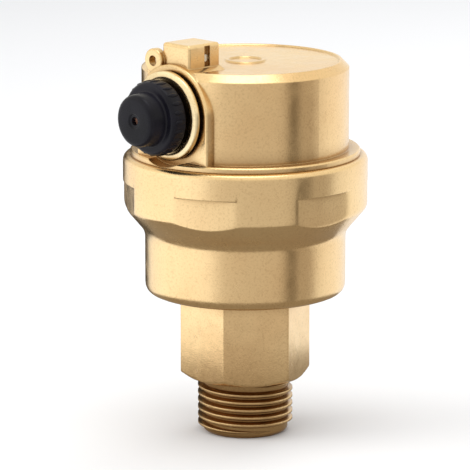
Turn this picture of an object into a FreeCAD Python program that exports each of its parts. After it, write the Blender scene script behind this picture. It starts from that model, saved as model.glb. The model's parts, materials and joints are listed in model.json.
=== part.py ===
import FreeCAD, Part
import math
import os

from FreeCAD import Vector

# Automatic air vent with a side outlet, in millimetres.
#
# Frame: +Z runs up the vent's axis. The origin is on that axis, in the plane of the
# hexagon's underside, where the inlet thread begins. The outlet points along -Y.
# "Reach" is a distance from the axis along -Y, so a point at reach 12 has y = -12.
# The vent is drawn empty of water: the float hangs at its lowest and the valve is open.

# Inlet: G 3/8 parallel pipe thread, drawn as rings with true pitch and depth
INLET_R = 8.33
INLET_ROOT_R = 7.475
INLET_PITCH = 1.337
INLET_CREST = 0.35
INLET_RINGS = 6
INLET_LENGTH = 10.0
INLET_SHANK = 0.6
INLET_BORE_R = 5.75

# Hexagon for the fitting spanner
HEX_FLATS = 20.0
HEX_HEIGHT = 15.0
HEX_CHAMFER = 1.5
HEX_TURN = -3.4

# Drum of the body and the wrench flats above it
DRUM_R = 17.5
DRUM_EDGE = 1.8
CONE_BOTTOM = 26.0
CONE_TOP = 30.5
CROWN_FLATS = 41.0
CROWN_TURN = 26.6
LIP_R = 21.3
LIP_BOTTOM = 35.0
LIP_TOP = 39.5
LIP_EDGE = 1.2
CHAMBER_R = 15.4
CHAMBER_FLOOR = 17.5
CHAMBER_SHOULDER = 31.0
SEAL_POCKET_R = 18.9
SEAL_POCKET_Z = 38.0

# Thread between body and cover, with clearance between the crests
COVER_PITCH = 1.5
COVER_CREST = 0.4
COVER_RINGS = 4
BODY_THREAD_R = 18.0
BODY_THREAD_DEPTH = 0.6
SKIRT_R = 17.9
SKIRT_ROOT_R = 17.2
SKIRT_BOTTOM = 31.4
SKIRT_THREAD_Z = 31.7
SKIRT_BORE_R = 15.6
NECK_R = 17.3
SEATING_GAP = 0.02

# Cover
COVER_R = 18.0
COVER_TOP = 56.0
COVER_CHAMFER = 1.3
COVER_BORE_R = 15.7
COVER_CEILING = 53.4
FLANGE_R = 20.0
FLANGE_TOP = 40.5
PANEL_R = 16.1
PANEL_DEPTH = 0.25
MARK_R = 3.4
MARK_WIDTH = 0.5

# Outlet boss on the cover's side
OUTLET_Z = 48.3
BOSS_R = 8.7
BOSS_REACH = 17.6
PAD_R = 6.3
PAD_REACH = 14.6
SEAT_HOLE_R = 4.6

# Tower over the boss, which holds the lever's bracket
TOWER_HALF = 3.3
TOWER_IN = 9.2
TOWER_OUT = 16.6
TOWER_TOP = 60.4
POCKET_HALF = 2.1
POCKET_IN = 10.2
POCKET_OUT = 15.4
POCKET_TOP = 59.2
SLOT_WIDTH = 1.3
SLOT_BOTTOM = 56.5
SLOT_TOP = 60.0
SLOT_DEPTH = 0.65
BRACKET_PIN_R = 0.6
BRACKET_PIN_REACH = 12.25
BRACKET_PIN_Z = 57.9

# Sealing-wire eye beside the tower
EYE_R = 2.1
EYE_HOLE_R = 0.9
EYE_X = -4.8
EYE_Z = 57.1
EYE_REACH = 15.9
EYE_THICKNESS = 1.5

# Seat insert in the boss
SEAT_FLANGE_R = 7.7
SEAT_FLANGE_IN = 18.1
SEAT_FACE = 19.3
SEAT_SHANK_R = 4.55
SEAT_SHANK_ROOT_R = 4.2
SEAT_SHANK_PITCH = 0.75
SEAT_SHANK_IN = 14.0
SEAT_CUP_R = 3.5
SEAT_CUP_FLOOR = 16.9
SEAT_LIP_IN_R = 1.5
SEAT_LIP_OUT_R = 2.1
SEAT_LIP = 16.5
ORIFICE_R = 1.1
SPIGOT_R = 4.0
SPIGOT_ROOT_R = 3.5
SPIGOT_PITCH = 1.0
SPIGOT_END = 22.7
SPIGOT_BORE_R = 2.0

# Outlet seal ring, between the boss and the seat's flange
RING_GROOVE_IN_R = 5.3
RING_GROOVE_OUT_R = 7.1
RING_GROOVE_DEPTH = 0.6

# Vent cap
CAP_R = 6.55
CAP_IN = 19.8
CAP_SHOULDER = 23.0
CAP_NOSE_R = 4.5
CAP_END = 26.3
CAP_BORE_R = 4.1
CAP_GROOVE_R = 4.5
CAP_BORE_END = 23.35
CAP_CAVITY_R = 3.3
CAP_CAVITY_END = 25.3
CAP_VENT_R = 0.7
CAP_FLUTES = 24
CAP_FLUTE_R = 0.45
CAP_FLUTE_DEPTH = 0.22

# Float
FLOAT_R = 14.5
FLOAT_BOTTOM = 19.5
FLOAT_WALL = 1.2
FLOAT_JOINT_Z = 38.4
FLOAT_TOP = 40.2
FLOAT_BOSS_TOP = 41.4

# Lever, its pivot and its bracket
PIVOT_REACH = 8.6
PIVOT_Z = 44.7
PIVOT_PIN_R = 0.7
LEVER_HALF = 1.9
LEVER_GAUGE = 0.8
LEVER_EYE_R = 1.25
FORK_HALF = 0.8
WEB_IN = 10.5
WEB_OUT = 11.3
WEB_HALF = 2.9
EAR_GAUGE = 0.7
BRACKET_BOTTOM = 43.4

# Float hook
HOOK_R = 0.6
HOOK_Z = 45.9
HOOK_HALF = 1.9

# Valve
STEM_R = 0.75
STEM_TAIL = 6.6
SEAL_IN = 14.5
SEAL_OUT = 15.4
SEAL_R = 2.6
HOLDER_R = 3.2
HOLDER_IN = 13.9
HOLDER_RIM = 15.1
WASHER_IN = 13.5
CLIP_IN = 7.35
CLIP_OUT = 7.85
CLIP_R = 2.0
SPRING_R = 2.0
SPRING_WIRE_R = 0.18
SPRING_TURNS = 3

RUNNING = 0.05


def turned(outline):
    """Solid turned about Z from (radius, height) points."""
    points = [Vector(r, 0, z) for r, z in outline]
    wire = Part.makePolygon(points + points[:1])
    return Part.Face(wire).revolve(Vector(0, 0, 0), Vector(0, 0, 1), 360)


def on_outlet(shape):
    """Lay a shape drawn along +Z on the outlet's axis, its heights becoming reaches."""
    shape.rotate(Vector(0, 0, 0), Vector(1, 0, 0), 90)
    shape.translate(Vector(0, 0, OUTLET_Z))
    return shape


def plate(outline, x_low, x_high):
    """Flat piece cut from (reach, height) points, with its faces at two values of x."""
    points = [Vector(x_low, -reach, z) for reach, z in outline]
    wire = Part.makePolygon(points + points[:1])
    return Part.Face(wire).extrude(Vector(x_high - x_low, 0, 0))


def block(half, reach_in, reach_out, bottom, top):
    """Box centred on x = 0 between two reaches and two heights."""
    corner = Vector(-half, -reach_out, bottom)
    return Part.makeBox(2 * half, reach_out - reach_in, top - bottom, corner)


def across(radius, reach, z, x_low, x_high):
    """Cylinder along X."""
    return Part.makeCylinder(radius, x_high - x_low, Vector(x_low, -reach, z), Vector(1, 0, 0))


def prism(flats, turn, bottom, height):
    """Hexagonal prism. Turn is the angle from -Y to the middle of a flat, towards +X."""
    corner_r = flats / math.sqrt(3)
    points = []
    for k in range(6):
        angle = math.radians(turn + 30 + 60 * k)
        points.append(Vector(corner_r * math.sin(angle), -corner_r * math.cos(angle), bottom))
    return Part.Face(Part.makePolygon(points + points[:1])).extrude(Vector(0, 0, height))


def rings(root, crest, start, pitch, count, flat):
    """Outline points of thread rings that stand from the root radius to the crest radius."""
    flank = (pitch - flat) * 0.48
    points = []
    for k in range(count):
        base = start + k * pitch
        points.append((root, base))
        points.append((crest, base + flank))
        points.append((crest, base + flank + flat))
        points.append((root, base + 2 * flank + flat))
    return points


def rounded(shape, radius, wanted):
    """Fillet the circular edges whose (radius, height) is in the wanted list."""
    edges = []
    for edge in shape.Edges:
        if edge.Curve.TypeId != "Part::GeomCircle":
            continue
        for ring_r, z in wanted:
            same_r = abs(edge.Curve.Radius - ring_r) < 0.01
            if same_r and abs(edge.Curve.Center.z - z) < 0.01:
                edges.append(edge)
    return shape.makeFillet(radius, edges)


def make_body():
    """Forged body: inlet thread, hexagon, drum, wrench flats and the lip round the cover."""
    thread_start = -INLET_LENGTH + INLET_SHANK
    outline = [(INLET_BORE_R, -INLET_LENGTH), (INLET_ROOT_R - 0.4, -INLET_LENGTH)]
    outline += rings(INLET_ROOT_R, INLET_R, thread_start, INLET_PITCH, INLET_RINGS, INLET_CREST)
    outline += [(INLET_ROOT_R, -2 * INLET_SHANK), (INLET_R, -INLET_SHANK), (INLET_R, 0.5)]
    outline += [(INLET_BORE_R, 0.5)]
    inlet = turned(outline)

    corner_r = HEX_FLATS / math.sqrt(3)
    chamfer_z = HEX_CHAMFER * math.tan(math.radians(30))
    limit = turned([(0, 0), (corner_r - HEX_CHAMFER, 0), (corner_r, chamfer_z),
                    (corner_r, HEX_HEIGHT + 1), (0, HEX_HEIGHT + 1)])
    hexagon = prism(HEX_FLATS, HEX_TURN, 0, HEX_HEIGHT + 1).common(limit)

    drum = turned([(0, HEX_HEIGHT), (DRUM_R, HEX_HEIGHT), (DRUM_R, CONE_BOTTOM),
                   (LIP_R, CONE_TOP), (LIP_R, LIP_TOP), (0, LIP_TOP)])
    drum = rounded(drum, DRUM_EDGE, [(DRUM_R, HEX_HEIGHT)])
    drum = rounded(drum, LIP_EDGE, [(LIP_R, LIP_TOP)])
    drum = rounded(drum, 0.8, [(DRUM_R, CONE_BOTTOM)])
    drum = rounded(drum, 0.5, [(LIP_R, CONE_TOP)])
    crown_height = LIP_BOTTOM - CONE_BOTTOM
    crown_ring = Part.makeCylinder(LIP_R + 1, crown_height, Vector(0, 0, CONE_BOTTOM))
    drum = drum.cut(crown_ring.cut(prism(CROWN_FLATS, CROWN_TURN, CONE_BOTTOM, crown_height)))

    groove_r = BODY_THREAD_R + BODY_THREAD_DEPTH
    bore = [(0, CHAMBER_FLOOR), (CHAMBER_R - 1.5, CHAMBER_FLOOR), (CHAMBER_R, CHAMBER_FLOOR + 1.5),
            (CHAMBER_R, CHAMBER_SHOULDER), (BODY_THREAD_R, CHAMBER_SHOULDER)]
    bore += rings(BODY_THREAD_R, groove_r, SKIRT_THREAD_Z, COVER_PITCH, COVER_RINGS, COVER_CREST)
    bore += [(BODY_THREAD_R, SEAL_POCKET_Z), (SEAL_POCKET_R, SEAL_POCKET_Z),
             (SEAL_POCKET_R, LIP_TOP + 1), (0, LIP_TOP + 1)]
    waterway_length = INLET_LENGTH + CHAMBER_FLOOR + 2
    waterway = Part.makeCylinder(INLET_BORE_R, waterway_length, Vector(0, 0, -INLET_LENGTH - 1))
    return inlet.fuse(hexagon).fuse(drum).cut(turned(bore)).cut(waterway)


def make_cover_shell():
    """The cover's turned shape, with its threaded skirt, flange and sunk top panel."""
    outer = [(SKIRT_BORE_R, SKIRT_BOTTOM), (SKIRT_ROOT_R - 0.3, SKIRT_BOTTOM)]
    outer += rings(SKIRT_ROOT_R, SKIRT_R, SKIRT_THREAD_Z, COVER_PITCH, COVER_RINGS, COVER_CREST)
    flange_bottom = LIP_TOP + SEATING_GAP
    outer += [(NECK_R, SKIRT_THREAD_Z + COVER_RINGS * COVER_PITCH), (NECK_R, flange_bottom),
              (FLANGE_R, flange_bottom), (FLANGE_R, FLANGE_TOP - 0.25),
              (FLANGE_R - 0.25, FLANGE_TOP), (COVER_R, FLANGE_TOP),
              (COVER_R, COVER_TOP - COVER_CHAMFER), (COVER_R - COVER_CHAMFER, COVER_TOP)]
    panel_z = COVER_TOP - PANEL_DEPTH
    outer += [(PANEL_R + 0.2, COVER_TOP), (PANEL_R, panel_z), (MARK_R + 0.2, panel_z),
              (MARK_R, COVER_TOP), (MARK_R - MARK_WIDTH, COVER_TOP),
              (MARK_R - MARK_WIDTH - 0.2, panel_z), (0, panel_z)]
    inner = [(0, COVER_CEILING), (COVER_BORE_R - 0.8, COVER_CEILING),
             (COVER_BORE_R, COVER_CEILING - 0.8), (COVER_BORE_R, FLANGE_TOP),
             (SKIRT_BORE_R, FLANGE_TOP - 0.5)]
    return turned(outer + inner)


def make_eye():
    """Small round lug with a hole for a sealing wire."""
    start = Vector(EYE_X, -EYE_REACH, EYE_Z)
    lug = Part.makeCylinder(EYE_R, EYE_THICKNESS, start, Vector(0, -1, 0))
    lug = lug.makeFillet(0.3, [e for e in lug.Edges if e.Curve.TypeId == "Part::GeomCircle"])
    foot = Part.makeBox(2 * 1.4, EYE_THICKNESS - 0.2, 2.2,
                        Vector(EYE_X - 1.4, -EYE_REACH - EYE_THICKNESS + 0.1, EYE_Z - 3.4))
    hole = Part.makeCylinder(EYE_HOLE_R, EYE_THICKNESS + 2, start + Vector(0, 1, 0), Vector(0, -1, 0))
    return lug.fuse(foot).cut(hole)


def make_cover():
    """Forged cover with the arched outlet boss, the tower and the sealing-wire eye."""
    boss = on_outlet(Part.makeCylinder(BOSS_R, BOSS_REACH - TOWER_IN, Vector(0, 0, TOWER_IN)))
    boss = boss.fuse(block(BOSS_R, TOWER_IN, BOSS_REACH, FLANGE_TOP - 0.5, OUTLET_Z)).removeSplitter()
    front = [e for e in boss.Edges if e.BoundBox.YMax < -BOSS_REACH + 0.1 and e.BoundBox.ZMax > FLANGE_TOP]
    boss = boss.makeFillet(0.4, front)
    cavity = Part.makeCylinder(COVER_BORE_R, COVER_CEILING - FLANGE_TOP + 1, Vector(0, 0, FLANGE_TOP - 1))
    boss = boss.cut(cavity)
    pad = on_outlet(Part.makeCylinder(PAD_R, BOSS_REACH - 0.5 - PAD_REACH, Vector(0, 0, PAD_REACH)))

    tower = block(TOWER_HALF, TOWER_IN, TOWER_OUT, COVER_CEILING + 1, TOWER_TOP)
    upper = [e for e in tower.Edges if e.BoundBox.ZMax > TOWER_TOP - 0.01]
    tower = tower.makeFillet(0.55, upper)

    spot_face = on_outlet(Part.makeCylinder(BOSS_R, 3, Vector(0, 0, BOSS_REACH)))
    spot_face = spot_face.fuse(block(BOSS_R, BOSS_REACH, BOSS_REACH + 3, FLANGE_TOP, OUTLET_Z))
    cover = make_cover_shell().cut(spot_face).fuse(boss).fuse(pad).fuse(tower).fuse(make_eye())

    groove = Part.makeCylinder(RING_GROOVE_OUT_R, RING_GROOVE_DEPTH + 1,
                               Vector(0, 0, BOSS_REACH - RING_GROOVE_DEPTH))
    core = Part.makeCylinder(RING_GROOVE_IN_R, 4, Vector(0, 0, BOSS_REACH - 2))
    seat_hole = Part.makeCylinder(SEAT_HOLE_R, 8, Vector(0, 0, SEAT_SHANK_IN - 1))
    pocket = block(POCKET_HALF, POCKET_IN, POCKET_OUT, COVER_CEILING - 1, POCKET_TOP)
    pin_hole = across(BRACKET_PIN_R, BRACKET_PIN_REACH, BRACKET_PIN_Z, -TOWER_HALF - 1, TOWER_HALF + 1)
    slot_in = BRACKET_PIN_REACH - SLOT_WIDTH / 2
    slots = block(TOWER_HALF + 1, slot_in, slot_in + SLOT_WIDTH, SLOT_BOTTOM, SLOT_TOP)
    slots = slots.cut(block(TOWER_HALF - SLOT_DEPTH, slot_in - 1, slot_in + 3, SLOT_BOTTOM - 1, SLOT_TOP + 1))
    for tool in (on_outlet(groove.cut(core)), on_outlet(seat_hole), pocket, pin_hole, slots):
        cover = cover.cut(tool)
    return cover


def make_cover_seal_ring():
    """O-ring between the cover's neck and the pocket in the body's lip."""
    section_r = (SEAL_POCKET_R - NECK_R) / 2 - 0.12
    middle_z = (SEAL_POCKET_Z + LIP_TOP) / 2
    return Part.makeTorus((SEAL_POCKET_R + NECK_R) / 2, section_r, Vector(0, 0, middle_z))


def make_outlet_seat():
    """Turned insert: flange ring, shank in the boss, valve seat and threaded spigot."""
    outline = [(SEAT_CUP_R, SEAT_SHANK_IN), (SEAT_SHANK_ROOT_R, SEAT_SHANK_IN)]
    outline += rings(SEAT_SHANK_ROOT_R, SEAT_SHANK_R, SEAT_SHANK_IN + 0.3, SEAT_SHANK_PITCH, 4, 0.2)
    outline += [(SEAT_SHANK_ROOT_R, SEAT_FLANGE_IN), (SEAT_FLANGE_R - 0.15, SEAT_FLANGE_IN),
                (SEAT_FLANGE_R, SEAT_FLANGE_IN + 0.15), (SEAT_FLANGE_R, SEAT_FACE - 0.25),
                (SEAT_FLANGE_R - 0.25, SEAT_FACE), (SPIGOT_ROOT_R, SEAT_FACE)]
    outline += rings(SPIGOT_ROOT_R, SPIGOT_R, SEAT_FACE + 0.3, SPIGOT_PITCH, 3, 0.25)
    outline += [(SPIGOT_ROOT_R - 0.15, SPIGOT_END), (SPIGOT_BORE_R, SPIGOT_END),
                (SPIGOT_BORE_R, SEAT_FACE + 0.7), (ORIFICE_R, SEAT_FACE), (ORIFICE_R, SEAT_CUP_FLOOR),
                (SEAT_LIP_IN_R, SEAT_CUP_FLOOR), (SEAT_LIP_IN_R + 0.2, SEAT_LIP),
                (SEAT_LIP_OUT_R - 0.2, SEAT_LIP), (SEAT_LIP_OUT_R, SEAT_CUP_FLOOR),
                (SEAT_CUP_R, SEAT_CUP_FLOOR)]
    return on_outlet(turned(outline))


def make_outlet_seal_ring():
    """O-ring between the boss and the back of the seat's flange."""
    groove_floor = BOSS_REACH - RING_GROOVE_DEPTH
    section_r = (SEAT_FLANGE_IN - groove_floor) / 2 - 0.02
    middle = (SEAT_FLANGE_IN + groove_floor) / 2
    mean_r = (RING_GROOVE_IN_R + RING_GROOVE_OUT_R) / 2
    return on_outlet(Part.makeTorus(mean_r, section_r, Vector(0, 0, middle)))


def make_lever_bracket():
    """Pressed steel bracket: web with the stem's guide hole, two ears and a tab in the tower."""
    web = block(WEB_HALF, WEB_IN, WEB_OUT, BRACKET_BOTTOM, COVER_CEILING - 0.1)
    tab = block(POCKET_HALF - 0.2, WEB_IN, WEB_OUT, COVER_CEILING - 1, POCKET_TOP - 0.3)
    bracket = web.fuse(tab)
    tab_lug = [(WEB_OUT - 0.1, BRACKET_PIN_Z - 1.3), (BRACKET_PIN_REACH + 1, BRACKET_PIN_Z - 1.0),
               (BRACKET_PIN_REACH + 1, POCKET_TOP - 0.3), (WEB_OUT - 0.1, POCKET_TOP - 0.3)]
    ear = [(WEB_IN + 0.1, BRACKET_BOTTOM), (PIVOT_REACH - 0.7, BRACKET_BOTTOM),
           (PIVOT_REACH - 1.3, BRACKET_BOTTOM + 0.6), (PIVOT_REACH - 1.3, PIVOT_Z + 0.7),
           (PIVOT_REACH - 0.7, PIVOT_Z + 1.3), (WEB_IN + 0.1, PIVOT_Z + 1.3)]
    for side in (-1, 1):
        lug_faces = sorted((side * (POCKET_HALF - 0.2), side * (POCKET_HALF - 0.2 - EAR_GAUGE)))
        ear_faces = sorted((side * WEB_HALF, side * (WEB_HALF - EAR_GAUGE)))
        bracket = bracket.fuse(plate(tab_lug, *lug_faces)).fuse(plate(ear, *ear_faces))
    stem_hole = on_outlet(Part.makeCylinder(STEM_R + RUNNING, 3, Vector(0, 0, WEB_IN - 1)))
    pin_hole = across(BRACKET_PIN_R + 0.01, BRACKET_PIN_REACH, BRACKET_PIN_Z, -4, 4)
    pivot_hole = across(PIVOT_PIN_R + 0.01, PIVOT_REACH, PIVOT_Z, -4, 4)
    return bracket.cut(stem_hole).cut(pin_hole).cut(pivot_hole)


def make_bracket_pin():
    """Pin pressed across the tower through the bracket's tab."""
    end = TOWER_HALF - SLOT_DEPTH + 0.2
    return across(BRACKET_PIN_R, BRACKET_PIN_REACH, BRACKET_PIN_Z, -end, end)


def make_lever():
    """Bell crank: forked short arms at the stem, long arm that carries the float's hook."""
    low = PIVOT_Z - LEVER_GAUGE / 2
    high = PIVOT_Z + LEVER_GAUGE / 2
    arm_root = PIVOT_REACH - LEVER_EYE_R - 0.2
    arm = block(LEVER_HALF, 0, arm_root, low, high)
    upright = [(PIVOT_REACH, PIVOT_Z), (PIVOT_REACH + 0.7, PIVOT_Z),
               (PIVOT_REACH + 0.7, OUTLET_Z), (PIVOT_REACH, OUTLET_Z)]
    rail = [(PIVOT_REACH, low), (PIVOT_REACH, PIVOT_Z + LEVER_EYE_R), (arm_root, high + 0.7),
            (3.0, high), (3.0, low)]
    tip_rail = [(-2.4, low), (0.2, low), (0.2, high), (-1.8, high), (-2.1, high + 0.6), (-2.4, high + 0.6)]
    lever = arm
    for side in (-1, 1):
        rail_faces = sorted((side * LEVER_HALF, side * (LEVER_HALF - LEVER_GAUGE)))
        finger_faces = sorted((side * LEVER_HALF, side * FORK_HALF))
        eye = across(LEVER_EYE_R, PIVOT_REACH, PIVOT_Z, *rail_faces)
        tip = across(0.7, PIVOT_REACH, OUTLET_Z, *rail_faces)
        for piece in (eye, tip, plate(upright, *rail_faces), plate(rail, *rail_faces),
                      plate(tip_rail, *finger_faces)):
            lever = lever.fuse(piece)
    fork_gap = block(FORK_HALF, -3, 0.8, low - 1, high + 2)
    pivot_hole = across(PIVOT_PIN_R + RUNNING, PIVOT_REACH, PIVOT_Z, -4, 4)
    return lever.cut(fork_gap).cut(pivot_hole).removeSplitter()


def make_lever_pivot_pin():
    """Headed pin through the bracket's ears and the lever, grooved for its clip."""
    shank = across(PIVOT_PIN_R, PIVOT_REACH, PIVOT_Z, -WEB_HALF, WEB_HALF + 0.9)
    head = across(PIVOT_PIN_R + 0.5, PIVOT_REACH, PIVOT_Z, -WEB_HALF - 0.45, -WEB_HALF - 0.02)
    neck = across(PIVOT_PIN_R, PIVOT_REACH, PIVOT_Z, -WEB_HALF - 0.1, -WEB_HALF)
    groove = across(PIVOT_PIN_R + 1, PIVOT_REACH, PIVOT_Z, WEB_HALF + 0.1, WEB_HALF + 0.5)
    groove = groove.cut(across(PIVOT_PIN_R - 0.2, PIVOT_REACH, PIVOT_Z, 0, WEB_HALF + 2))
    return shank.fuse(neck).fuse(head).cut(groove).removeSplitter()


def make_pivot_clip():
    """Spring clip in the groove of the pivot pin, open downwards."""
    clip = across(PIVOT_PIN_R + 0.7, PIVOT_REACH, PIVOT_Z, WEB_HALF + 0.12, WEB_HALF + 0.48)
    bore = across(PIVOT_PIN_R - 0.18, PIVOT_REACH, PIVOT_Z, WEB_HALF, WEB_HALF + 1)
    mouth = Part.makeBox(1, 0.9, 2, Vector(WEB_HALF, -PIVOT_REACH - 0.45, PIVOT_Z - 2))
    return clip.cut(bore).cut(mouth)


def make_valve_stem():
    """Valve stem with a groove near its tail for the clip."""
    groove_r = STEM_R - 0.2
    outline = [(0, STEM_TAIL), (STEM_R - 0.15, STEM_TAIL), (STEM_R, STEM_TAIL + 0.15), (STEM_R, CLIP_IN),
               (groove_r, CLIP_IN), (groove_r, CLIP_OUT), (STEM_R, CLIP_OUT), (STEM_R, SEAL_IN), (0, SEAL_IN)]
    return on_outlet(turned(outline))


def make_seal_holder():
    """Cup on the stem's end that holds the rubber seal."""
    outline = [(STEM_R, HOLDER_IN), (HOLDER_R - 0.2, HOLDER_IN), (HOLDER_R, HOLDER_IN + 0.2),
               (HOLDER_R, HOLDER_RIM), (SEAL_R, HOLDER_RIM), (SEAL_R, SEAL_IN), (STEM_R, SEAL_IN)]
    return on_outlet(turned(outline))


def make_valve_seal():
    """Rubber disc that closes the orifice."""
    seal_r = SEAL_R - 0.01
    outline = [(0, SEAL_IN), (seal_r, SEAL_IN), (seal_r, SEAL_OUT - 0.15), (seal_r - 0.15, SEAL_OUT), (0, SEAL_OUT)]
    return on_outlet(turned(outline))


def make_spring_washer():
    """Steel washer between the spring and the seal holder."""
    outline = [(STEM_R + 0.01, WASHER_IN), (HOLDER_R - 0.5, WASHER_IN), (HOLDER_R - 0.5, HOLDER_IN),
               (STEM_R + 0.01, HOLDER_IN)]
    return on_outlet(turned(outline))


def make_valve_spring():
    """Closing spring between the bracket's web and the washer, drawn compressed."""
    start = WEB_OUT + SPRING_WIRE_R + 0.03
    length = WASHER_IN - SPRING_WIRE_R - 0.03 - start
    steps_per_turn = 12
    steps = SPRING_TURNS * steps_per_turn
    points = []
    for k in range(steps + 1):
        angle = 2 * math.pi * k / steps_per_turn
        points.append(Vector(SPRING_R * math.cos(angle), SPRING_R * math.sin(angle), start + length * k / steps))
    path = Part.BSplineCurve()
    path.interpolate(points)
    along = path.tangent(path.FirstParameter)[0]
    section = Part.Wire([Part.Circle(points[0], along, SPRING_WIRE_R).toShape()])
    return on_outlet(Part.Wire([path.toShape()]).makePipeShell([section], True, False))


def make_stem_clip():
    """Clip in the stem's groove that the lever's fork pulls on."""
    bore_r = STEM_R - 0.18
    play = 0.02
    clip = Part.makeCylinder(CLIP_R, CLIP_OUT - CLIP_IN - 2 * play, Vector(0, 0, CLIP_IN + play))
    bore = Part.makeCylinder(bore_r, 2, Vector(0, 0, CLIP_IN - 1))
    mouth = Part.makeBox(2 * bore_r - 0.1, 3, 2, Vector(0.05 - bore_r, 0, CLIP_IN - 1))
    return on_outlet(clip.cut(bore).cut(mouth))


def make_float_cup():
    """Lower shell of the float, a closed cup."""
    inner_r = FLOAT_R - FLOAT_WALL
    floor = FLOAT_BOTTOM + FLOAT_WALL
    cup = turned([(0, FLOAT_BOTTOM), (FLOAT_R, FLOAT_BOTTOM), (FLOAT_R, FLOAT_JOINT_Z), (0, FLOAT_JOINT_Z)])
    cup = rounded(cup, 4.0, [(FLOAT_R, FLOAT_BOTTOM)])
    hollow = turned([(0, floor), (inner_r, floor), (inner_r, FLOAT_JOINT_Z + 1), (0, FLOAT_JOINT_Z + 1)])
    hollow = rounded(hollow, 2.8, [(inner_r, floor)])
    return cup.cut(hollow)


def make_float_lid():
    """Upper shell of the float, with a plug into the cup and a boss for the hook."""
    plug_r = FLOAT_R - FLOAT_WALL - 0.02
    under = FLOAT_TOP - FLOAT_WALL
    outline = [(0, under - 1.4), (2.2, under - 1.4), (2.2, under), (plug_r - 1.1, under),
               (plug_r - 1.1, FLOAT_JOINT_Z - 1.6), (plug_r, FLOAT_JOINT_Z - 1.6), (plug_r, FLOAT_JOINT_Z),
               (FLOAT_R, FLOAT_JOINT_Z), (FLOAT_R, FLOAT_TOP - 1.0), (FLOAT_R - 2.5, FLOAT_TOP),
               (2.4, FLOAT_TOP), (2.1, FLOAT_BOSS_TOP), (0, FLOAT_BOSS_TOP)]
    hook_hole = Part.makeCylinder(HOOK_R, 4, Vector(0, 0, FLOAT_TOP - 2))
    return turned(outline).cut(hook_hole)


def make_float_hook():
    """Tee that hangs the float from the lever's fork."""
    foot_z = FLOAT_TOP - 2
    post = Part.makeCylinder(HOOK_R, HOOK_Z - foot_z, Vector(0, 0, foot_z))
    return post.fuse(across(HOOK_R, 0, HOOK_Z, -HOOK_HALF, HOOK_HALF)).removeSplitter()


def make_vent_cap():
    """Moulded cap: fluted skirt on the spigot's thread, hollow nose with a vent hole."""
    outline = [(CAP_BORE_R, CAP_IN), (CAP_R - 0.3, CAP_IN), (CAP_R, CAP_IN + 0.3),
               (CAP_R, CAP_SHOULDER - 0.5), (CAP_R - 0.5, CAP_SHOULDER), (CAP_NOSE_R, CAP_SHOULDER),
               (CAP_NOSE_R, CAP_END), (CAP_VENT_R, CAP_END), (CAP_VENT_R, CAP_CAVITY_END),
               (CAP_CAVITY_R, CAP_CAVITY_END), (CAP_CAVITY_R, CAP_BORE_END), (CAP_BORE_R, CAP_BORE_END)]
    thread = rings(CAP_BORE_R, CAP_GROOVE_R, SEAT_FACE + 0.8, SPIGOT_PITCH, 2, 0.25)
    cap = turned(outline + thread[::-1])
    cap = rounded(cap, 0.9, [(CAP_NOSE_R, CAP_END)])
    flute_r = CAP_R + CAP_FLUTE_R - CAP_FLUTE_DEPTH
    flutes = []
    for k in range(CAP_FLUTES):
        angle = 2 * math.pi * k / CAP_FLUTES
        middle = Vector(flute_r * math.cos(angle), flute_r * math.sin(angle), CAP_IN + 0.5)
        flutes.append(Part.makeCylinder(CAP_FLUTE_R, 2.0, middle))
    return on_outlet(cap.cut(flutes))


def make_cap_washer():
    """Rubber washer between the cap and the spigot's end."""
    outline = [(1.6, SPIGOT_END + 0.08), (CAP_BORE_R - 0.15, SPIGOT_END + 0.08),
               (CAP_BORE_R - 0.15, CAP_BORE_END - 0.07), (1.6, CAP_BORE_END - 0.07)]
    return on_outlet(turned(outline))


def make_swelling_discs():
    """Three fibre discs in the cap's nose, which swell and shut it when wet."""
    thickness = 0.55
    discs = []
    for k in range(3):
        start = CAP_BORE_END + 0.07 + k * (thickness + 0.05)
        discs.append(Part.makeCylinder(CAP_CAVITY_R - 0.2, thickness, Vector(0, 0, start)))
    return on_outlet(Part.makeCompound(discs))


PIECES = {
    "body": make_body,
    "cover": make_cover,
    "cover_seal_ring": make_cover_seal_ring,
    "outlet_seat": make_outlet_seat,
    "outlet_seal_ring": make_outlet_seal_ring,
    "lever_bracket": make_lever_bracket,
    "bracket_pin": make_bracket_pin,
    "lever": make_lever,
    "lever_pivot_pin": make_lever_pivot_pin,
    "pivot_clip": make_pivot_clip,
    "valve_stem": make_valve_stem,
    "seal_holder": make_seal_holder,
    "valve_seal": make_valve_seal,
    "spring_washer": make_spring_washer,
    "valve_spring": make_valve_spring,
    "stem_clip": make_stem_clip,
    "float_cup": make_float_cup,
    "float_lid": make_float_lid,
    "float_hook": make_float_hook,
    "vent_cap": make_vent_cap,
    "cap_washer": make_cap_washer,
    "swelling_discs": make_swelling_discs,
}

os.makedirs("parts", exist_ok=True)
for name, make in PIECES.items():
    shape = make()
    shape.exportStep("parts/" + name + ".step")
    box = shape.BoundBox
    print(f"{name:18s} {len(shape.Solids)} solid(s) valid {shape.isValid()} {shape.Volume:9.2f} mm3 "
          f"x {box.XMin:6.2f} {box.XMax:6.2f} y {box.YMin:6.2f} {box.YMax:6.2f} z {box.ZMin:6.2f} {box.ZMax:6.2f}")
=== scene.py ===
# %% [markdown]
# # A brass automatic air vent
#
# This notebook dresses a small float-type air vent, the fitting that lets air out of a heating
# manifold by itself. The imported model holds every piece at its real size, in metres, with +Z up and
# the side outlet along -Y. We keep that frame fixed and add what the eye judges: softly forged
# edges, a real helical thread, a ribbed plastic cap and a finish for every metal, plastic and rubber.

# %% Load the fixed frame
import json
import math

import bmesh
import bpy
from mathutils import Matrix, Vector

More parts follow.
